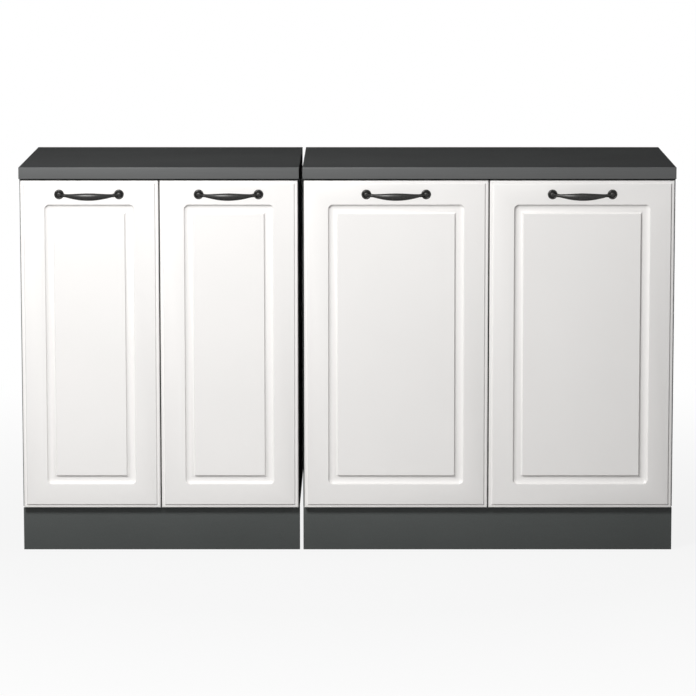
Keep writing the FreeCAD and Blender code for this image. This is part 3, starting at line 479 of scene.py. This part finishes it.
def blackened_casting(tree, place, base):
    """Zinc casting, blackened and waxed: dark up to its edges, with paler metal on its ridges and high
    spots, partly rubbed wear and partly painted highlight.
    """
    wear_and_highlight_tint = list(settings().finish.handle_wear)
    # The pointiness mask lightens the ridges and high spots: rubbed wear and painted highlight in one.
    high = node(tree, "NewGeometry").outputs["Pointiness"]
    grain = noise(tree, place, 1.5, 4.0, 0.6)
    mask_speckle = node(tree, "Math", {1: 0.12}, {0: grain}, operation="MULTIPLY").outputs[0]
    wear_and_highlight_mask = node(tree, "Math", links={0: high, 1: mask_speckle}, operation="ADD").outputs[0]
    surface(tree, {
        "Base Color": ramp(tree, wear_and_highlight_mask, base, wear_and_highlight_tint, 0.555, 0.64),
        "Roughness": spread(tree, grain, 0.32, 0.46),
        "Normal": relief(tree, grain, 0.12, 0.25),
    }, {"Metallic": 1.0, "Specular Tint": (0.0, 0.0, 0.0, 1.0)})


def nickel_plating(tree, place, _):
    """Pressed steel, nickel plated: bright and slightly warm, with faint drawing marks."""
    along = node(tree, "Mapping", {"Scale": (1.0, 0.1, 1.0)}, {"Vector": place}).outputs["Vector"]
    marks = noise(tree, along, 1.5, 3.0)
    surface(tree, {
        "Base Color": ramp(tree, marks, linear("#b5b1a8"), linear("#cfccc4")),
        "Roughness": spread(tree, marks, 0.2, 0.34),
        "Normal": relief(tree, marks, 0.03, 0.15),
    }, {"Metallic": 1.0})


def zinc_plating(tree, place, _):
    """Zinc-plated steel screws and pins: cool grey, a little cloudy from the passivation."""
    cloud = noise(tree, place, 2.5, 4.0)
    surface(tree, {
        "Base Color": ramp(tree, cloud, linear("#9ba0a3"), linear("#c3c5c2")),
        "Roughness": spread(tree, cloud, 0.28, 0.42),
        "Normal": relief(tree, cloud, 0.03, 0.1),
    }, {"Metallic": 1.0})


def black_polypropylene(tree, place, _):
    """Moulded black polypropylene: dull black with the fine spark grain of the mould."""
    spark = noise(tree, place, 1.0, 2.0)
    surface(tree, {
        "Base Color": ramp(tree, spark, linear("#121212"), linear("#1c1c1c")),
        "Roughness": spread(tree, spark, 0.45, 0.6),
        "Normal": relief(tree, spark, 0.08, 0.3),
    }, {"IOR": 1.49, "Specular IOR Level": 0.4})


def clear_polyurethane(tree, place, _):
    """Cast clear polyurethane buffers: cloudy and slightly yellow, the light goes through."""
    cloud = noise(tree, place, 3.0, 2.0)
    surface(tree, {
        "Base Color": ramp(tree, cloud, linear("#d9d8cf"), linear("#ecebe4")),
        "Roughness": spread(tree, cloud, 0.25, 0.4),
    }, {"IOR": 1.48, "Transmission Weight": 0.7})


FINISHES = {
    "door_foil": satin_foil,
    "worktop_laminate": matt_laminate,
    "worktop_edging": edging_strip,
    "plinth_board": plinth_facing,
    "carcass_board": carcass_facing,
    "back_board": hardboard,
    "black_handle": blackened_casting,
    "nickel_steel": nickel_plating,
    "zinc_screws": zinc_plating,
    "black_plastic": black_polypropylene,
    "clear_rubber": clear_polyurethane,
}


def finish(slot):
    """The material of a record slot, made when it is first asked for and named for what it is."""
    make = FINISHES[slot]
    material = bpy.data.materials.get(make.__name__)
    if material is None:
        material = bpy.data.materials.new(make.__name__)
        material.use_nodes = True
        material.node_tree.nodes.clear()
        place = node(material.node_tree, "TexCoord").outputs["Object"]
        # Slots with no colour of their own take the carcass's tone, its painted shade included.
        tint = getattr(settings().finish, slot, settings().finish.carcass_board)
        make(material.node_tree, place, list(tint))
    return material


# Doors

def moulding_depth_at(across, sizes):
    """Depth of the groove at a distance from its outer edge: a wide arc between two tight ones."""
    half, deep, flank = sizes.moulding_width / 2, sizes.moulding_depth, sizes.moulding_flank
    side = half - flank
    nose = (side ** 2 + deep ** 2 - flank ** 2) / (2 * (deep - flank))
    off = abs(across - half)
    if off < side * nose / (nose - flank):
        return math.sqrt(nose ** 2 - off ** 2) - nose + deep
    return math.sqrt(max(0.0, flank ** 2 - (off - side) ** 2))


def inset_to(thickness, rise):
    """Insets the selected face and lifts the new face, or sinks it where rise is negative."""
    bpy.ops.mesh.inset(thickness=thickness, depth=rise, use_even_offset=True)


# Shares of the lip's slope and depth, from the lip up: steep, then eased over onto the field.
SLOPE_STEPS = ((0.6, 0.84), (0.2, 0.12), (0.2, 0.04))


def door_board(name, low, high, sizes):
    """The door up to its raised field, left open in edit mode where the moulding goes."""
    shoulder = low.y + sizes.lip_depth
    board = block(name, Vector((low.x, shoulder, low.z)), high)
    edit(board, "EDGE")
    edges_at(board, 1, high.y)
    bpy.ops.mesh.bevel(offset=sizes.back_round, segments=2, affect="EDGES")
    edges_at(board, 1, shoulder)
    bpy.ops.mesh.bevel(offset=sizes.lip_round, segments=5, affect="EDGES")
    bpy.ops.mesh.select_mode(type="FACE")
    pick(board, "faces", lambda face: all(at(vert.co.y, shoulder) for vert in face.verts))
    inset_to(sizes.lip_width - sizes.lip_round, 0)
    for across, up in SLOPE_STEPS:
        inset_to(across * sizes.lip_slope, up * sizes.lip_depth)
    inset_to(sizes.frame_width - sizes.lip_width - sizes.lip_slope, 0)
    bpy.ops.mesh.delete(type="ONLY_FACE")
    return board


def add_moulding(board, low, high, sizes):
    """The groove and the panel inside it, then the flat ring that joins them to the board."""
    half = sizes.moulding_width / 2
    inset = Vector((sizes.frame_width, 0, sizes.frame_width))
    start, end = low + inset, high - inset
    centre = Vector(((start.x + end.x) / 2, low.y, (start.z + end.z) / 2))
    bpy.ops.mesh.select_mode(type="VERT")
    bpy.ops.mesh.primitive_plane_add(size=1, location=centre, rotation=(math.pi / 2, 0, 0))
    bpy.ops.transform.resize(value=(end.x - start.x, 1, end.z - start.z), center_override=centre)
    bpy.ops.mesh.bevel(offset=half, segments=10, affect="VERTICES")
    bpy.ops.mesh.select_mode(type="FACE")
    pick(board, "faces", lambda face: len(face.verts) > 12)
    rings = 2 * sizes.moulding_steps
    stops = [half * (1 - math.cos(math.pi * ring / rings)) for ring in range(rings + 1)]
    for near, far in zip(stops, stops[1:]):
        inset_to(far - near, moulding_depth_at(near, sizes) - moulding_depth_at(far, sizes))
        if at(far, half):
            bpy.ops.mesh.remove_doubles(threshold=half / 10)
    bpy.ops.mesh.select_mode(type="EDGE")
    bpy.ops.mesh.select_all(action="DESELECT")
    bpy.ops.mesh.select_non_manifold(use_wire=False, use_boundary=True, use_multi_face=False,
                                     use_non_contiguous=False, use_verts=False)
    bpy.ops.mesh.bridge_edge_loops()
    bpy.ops.mesh.select_all(action="SELECT")
    bpy.ops.mesh.normals_make_consistent(inside=False)
    bpy.ops.object.mode_set(mode="OBJECT")


def cup_bores(low, high, side, sizes):
    """The cutters of a door's two hinge cup bores."""
    reach = sizes.cup_from_edge + sizes.cup_radius
    x = low.x + reach if side == "left" else high.x - reach
    floor, mouth = high.y - sizes.cup_depth, high.y + sizes.cup_depth
    heights = (low.z + sizes.hinge_from_end, high.z - sizes.hinge_from_end)
    return [rod("bore", sizes.cup_radius, Vector((x, floor, z)), Vector((x, mouth, z))) for z in heights]


def pair_of_doors(unit, places, sizes):
    """A unit's two doors without their bores: the left one is modelled, the right one copied."""
    low, high = places[0]
    left = door_board(f"{unit}_left_framed_door", low, high, sizes)
    add_moulding(left, low, high, sizes)
    return left, copy_of(left, f"{unit}_right_framed_door", places[1][0] - low)


class KITCHEN_OT_doors(bpy.types.Operator):
    """Models the framed doors of both units in white foil"""
    bl_idname = "kitchen.doors"
    bl_label = "Make the doors"

    def execute(self, context):
        sizes = settings().door
        for unit in UNITS:
            places = [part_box(f"{unit}_{side}_door") for side in SIDES]
            doors = pair_of_doors(unit, places, sizes)
            for door, side, (low, high) in zip(doors, SIDES, places):
                cut(door, *cup_bores(low, high, side, sizes))
                smooth(door)
                dress(door, "door_foil", f"{unit}_{side}_door", f"{unit}_{side}_door")
        return {"FINISHED"}


# Handles

# A rosette from its foot to its button, as shares of its radius and height: rim, ring groove, dome.
ROSETTE_PROFILE = (
    (0.93, 0.0), (1.0, 0.1), (1.0, 0.3), (0.95, 0.46), (0.86, 0.55), (0.77, 0.56), (0.7, 0.48),
    (0.64, 0.46), (0.58, 0.56), (0.52, 0.72), (0.44, 0.86), (0.34, 0.95), (0.22, 1.0), (0.08, 1.0),
)
ROSETTE_SIDES = 48

# The bow, from -1 at one rosette to 1 at the other: the powers say how squarely it stands out
# from the door and how fast it swells, and the bead has its place and spread.
GRIP_STEPS = 48
GRIP_SIDES = 32
BULGE_POWER = 2.4
SWELL_RATE = 1.1
SWELL_POWER = 1.3
BEAD_PLACE = 0.85
BEAD_SPREAD = 0.035


def rosette(centre, sizes):
    """A round end: a rim, a ring groove and a domed middle with a flat button."""
    rings = []
    for wide, share in ROSETTE_PROFILE:
        radius = wide * sizes.rosette_radius
        rings.append((centre - Vector((0, share * sizes.rosette_height, 0)), radius, radius))
    return stacked("rosette", 1, rings, ROSETTE_SIDES)


def grip_rings(centre, reach, sizes):
    """Rings of the bow from one rosette to the other: a neck, a bead and a swelling middle."""
    half = sizes.centres / 2
    root = sizes.rosette_height * 0.5
    crest = reach - sizes.grip_depth / 2
    rings = []
    for step in range(GRIP_STEPS + 1):
        share = 2 * step / GRIP_STEPS - 1
        bulge = 1 - abs(share) ** BULGE_POWER
        swell = max(0.0, math.cos(share * math.pi / 2 * SWELL_RATE)) ** SWELL_POWER
        bead = sizes.bead * math.exp(-((abs(share) - BEAD_PLACE) / BEAD_SPREAD) ** 2)
        tall = (sizes.neck + (sizes.grip_height - sizes.neck) * swell) / 2 + bead
        deep = (sizes.neck + (sizes.grip_depth - sizes.neck) * swell) / 2 + bead
        offset = Vector((share * half, -root - (crest - root) * bulge, -sizes.droop * bulge))
        rings.append((centre + offset, deep, tall))
    return rings


def make_handle(name, node_name, sizes):
    """A bow handle at the place of a node: grip and rosettes cast into one body."""
    low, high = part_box(node_name)
    foot = Vector(((low.x + high.x) / 2, high.y, high.z - sizes.rosette_radius))
    ends = [foot + Vector((side * sizes.centres / 2, 0, 0)) for side in (-1, 1)]
    grip = stacked("grip", 0, grip_rings(foot, high.y - low.y, sizes), GRIP_SIDES)
    take(grip, *[rosette(end, sizes) for end in ends])
    bpy.ops.object.join()
    grip.name = name
    remesh = grip.modifiers.new("cast", "REMESH")
    remesh.mode = "VOXEL"
    remesh.voxel_size = sizes.grain
    soften = grip.modifiers.new("soften", "SMOOTH")
    soften.iterations = 2
    apply_modifiers(grip)
    bpy.ops.object.shade_smooth()
    return grip


class KITCHEN_OT_handles(bpy.types.Operator):
    """Models one bow handle and copies it to the four doors"""
    bl_idname = "kitchen.handles"
    bl_label = "Make the handles"

    def execute(self, context):
        first = None
        for unit, side in DOORS:
            node_name = f"{unit}_{side}_handle"
            name = f"{unit}_{side}_bow_handle"
            if first is None:
                first = made = make_handle(name, node_name, settings().handle)
                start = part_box(node_name)
            else:
                step = (sum(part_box(node_name), Vector()) - sum(start, Vector())) / 2
                made = copy_of(first, name, step)
            # The doors stay clear of the handles' shadows.
            made.visible_shadow = False
            dress(made, "black_handle", f"{unit}_{side}_door", node_name)
        return {"FINISHED"}


# Worktops and plinths

class KITCHEN_OT_worktops(bpy.types.Operator):
    """Models the two worktops and the edging on their fronts"""
    bl_idname = "kitchen.worktops"
    bl_label = "Make the worktops"

    def execute(self, context):
        sizes = settings().board
        for unit in UNITS:
            low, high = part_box(f"{unit}_worktop")
            top = block(f"{unit}_laminate_worktop", low, high)
            edit(top, "EDGE")
            pick(top, "edges", lambda edge: not all(at(vert.co.y, low.y) for vert in edge.verts))
            bpy.ops.mesh.bevel(offset=sizes.top_round, segments=3, affect="EDGES")
            smooth(top)
            dress(top, "worktop_laminate", "root", f"{unit}_worktop")
            low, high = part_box(f"{unit}_worktop_edging")
            strip = block(f"{unit}_front_edging", low, high)
            edit(strip, "EDGE")
            edges_at(strip, 1, low.y)
            bpy.ops.mesh.bevel(offset=sizes.edging_round, segments=4, affect="EDGES")
            smooth(strip)
            dress(strip, "worktop_edging", "root", f"{unit}_worktop_edging")
        return {"FINISHED"}


class KITCHEN_OT_plinths(bpy.types.Operator):
    """Models the two plinth boards"""
    bl_idname = "kitchen.plinths"
    bl_label = "Make the plinths"

    def execute(self, context):
        for unit in UNITS:
            low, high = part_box(f"{unit}_plinth")
            board = block(f"{unit}_plinth_board", low, high)
            edit(board, "EDGE")
            bpy.ops.mesh.select_all(action="SELECT")
            bpy.ops.mesh.bevel(offset=settings().board.plinth_round, segments=3, affect="EDGES")
            smooth(board)
            dress(board, "plinth_board", "root", f"{unit}_plinth")
        return {"FINISHED"}


class KITCHEN_OT_finishes(bpy.types.Operator):
    """Gives every carried-over part its finish"""
    bl_idname = "kitchen.finishes"
    bl_label = "Finish the carcass and fittings"

    def execute(self, context):
        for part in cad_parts.values():
            if not part.hide_render:
                part.material_slots[0].material = finish(part.material_slots[0].material.name)
        return {"FINISHED"}


# Stage

FLOOR_SIZE = 200.0
FLOOR_GREY = "#a8a8a8"

# Near the object the paper takes its shadow; farther off it fades to plain white.
SHADOW_END = 0.8
WHITE_START = 2.2
NEAR_WHITE = 0.88

KEY_PLACE = Vector((-1.0, -2.4, 2.3))
KEY_SIZE = (0.7, 0.7)
REAR_PLACE = Vector((0.0, 2.4, 0.7))
REAR_SIZE = (6.0, 1.2)
CAMERA_PLACE = Vector((0.035, -7.591, 1.579))
CAMERA_SHIFT = (-0.0227, -0.1)


def seen_rays(tree):
    """One for the rays that show the background to the eye, straight, mirrored or through glass."""
    rays = node(tree, "LightPath").outputs
    seen = rays["Is Camera Ray"]
    for name in ("Is Glossy Ray", "Is Transmission Ray"):
        seen = node(tree, "Math", links={0: seen, 1: rays[name]}, operation="MAXIMUM").outputs[0]
    return seen


def paper_floor():
    """Pale paper: white to the eye, with the object's soft shadow near it."""
    material = bpy.data.materials.new("pale_paper")
    material.use_nodes = True
    tree = material.node_tree
    tree.nodes.clear()
    place = node(tree, "TexCoord").outputs["Object"]
    away = node(tree, "VectorMath", links={0: place}, operation="LENGTH").outputs["Value"]
    stretch = {"From Min": SHADOW_END, "From Max": WHITE_START, "To Min": NEAR_WHITE, "To Max": 1.0}
    fade = node(tree, "MapRange", stretch, {"Value": away}).outputs["Result"]
    share = node(tree, "Math", links={0: fade, 1: seen_rays(tree)}, operation="MULTIPLY").outputs[0]
    paper = node(tree, "BsdfDiffuse", {"Color": linear(FLOOR_GREY)}).outputs[0]
    white = node(tree, "Emission", {"Strength": 1.0}).outputs[0]
    mixed = node(tree, "MixShader", links={0: share, 1: paper, 2: white}).outputs[0]
    node(tree, "OutputMaterial", links={"Surface": mixed})
    return material


def white_world(strength):
    """An even sky that lights the object softly and looks plain white."""
    world = bpy.data.worlds.new("studio_sky")
    world.use_nodes = True
    tree = world.node_tree
    tree.nodes.clear()
    white = linear("#ffffff")
    even = node(tree, "Background", {"Color": white, "Strength": strength}).outputs[0]
    bright = node(tree, "Background", {"Color": white, "Strength": 1.0}).outputs[0]
    mixed = node(tree, "MixShader", links={0: seen_rays(tree), 1: even, 2: bright}).outputs[0]
    node(tree, "OutputWorld", links={"Surface": mixed})
    return world


def soft_lamp(name, place, size, power):
    """A square or oblong lamp that shines at the middle of the object."""
    rest_all()
    bpy.ops.object.light_add(type="AREA", location=place)
    lamp = bpy.context.object
    lamp.name = name
    lamp.data.shape = "RECTANGLE"
    lamp.data.size, lamp.data.size_y = size
    lamp.data.energy = power
    middle = (CAD_BOX[0] + CAD_BOX[1]) / 2
    lamp.rotation_euler = (middle - place).to_track_quat("-Z", "Y").to_euler()


class KITCHEN_OT_stage(bpy.types.Operator):
    """Sets up the floor, the light and the camera"""
    bl_idname = "kitchen.stage"
    bl_label = "Set the stage"

    def execute(self, context):
        studio = settings().studio
        context.scene.view_settings.view_transform = "Standard"
        rest_all()
        bpy.ops.mesh.primitive_plane_add(size=FLOOR_SIZE)
        floor = settle(context.object, "studio_floor")
        floor.data.materials.append(paper_floor())
        context.scene.world = white_world(studio.sky)
        soft_lamp("key_light", KEY_PLACE, KEY_SIZE, studio.key_power)
        soft_lamp("rear_light", REAR_PLACE, REAR_SIZE, studio.rear_power)
        rest_all()
        bpy.ops.object.camera_add(location=CAMERA_PLACE, rotation=(math.pi / 2 - studio.pitch, 0, 0))
        camera = context.object
        camera.data.lens = studio.lens
        camera.data.shift_x, camera.data.shift_y = CAMERA_SHIFT
        context.scene.camera = camera
        return {"FINISHED"}


STEPS = (
    KITCHEN_OT_doors, KITCHEN_OT_handles, KITCHEN_OT_worktops, KITCHEN_OT_plinths,
    KITCHEN_OT_finishes, KITCHEN_OT_stage,
)


class KITCHEN_PT_units(bpy.types.Panel):
    """Sizes, colours and steps of the two kitchen units"""
    bl_idname = "KITCHEN_PT_units"
    bl_label = "Kitchen base units"
    bl_space_type = "VIEW_3D"
    bl_region_type = "UI"
    bl_category = "Kitchen"

    def draw(self, context):
        for name, group in context.scene.kitchen_units.bl_rna.properties.items():
            if group.type == "POINTER" and name != "rna_type":
                box = self.layout.box()
                box.label(text=name.capitalize())
                chosen = getattr(context.scene.kitchen_units, name)
                for entry in chosen.bl_rna.properties.keys():
                    if entry not in ("rna_type", "name"):
                        box.prop(chosen, entry)
        for step in STEPS:
            self.layout.operator(step.bl_idname)


GROUPS = (DoorSizes, HandleSizes, BoardSizes, Finishes, Studio, KitchenUnits)
CLASSES = GROUPS + STEPS + (KITCHEN_PT_units,)


def register():
    """Makes the settings, steps and panel known to Blender."""
    for cls in CLASSES:
        bpy.utils.register_class(cls)
    bpy.types.Scene.kitchen_units = PointerProperty(type=KitchenUnits)


def unregister():
    """Takes them away again."""
    del bpy.types.Scene.kitchen_units
    for cls in reversed(CLASSES):
        bpy.utils.unregister_class(cls)


def main():
    """Dresses the frame step by step."""
    register()
    bpy.ops.kitchen.doors()
    bpy.ops.kitchen.handles()
    bpy.ops.kitchen.worktops()
    bpy.ops.kitchen.plinths()
    bpy.ops.kitchen.finishes()
    bpy.ops.kitchen.stage()


if __name__ == "__main__":
    main()
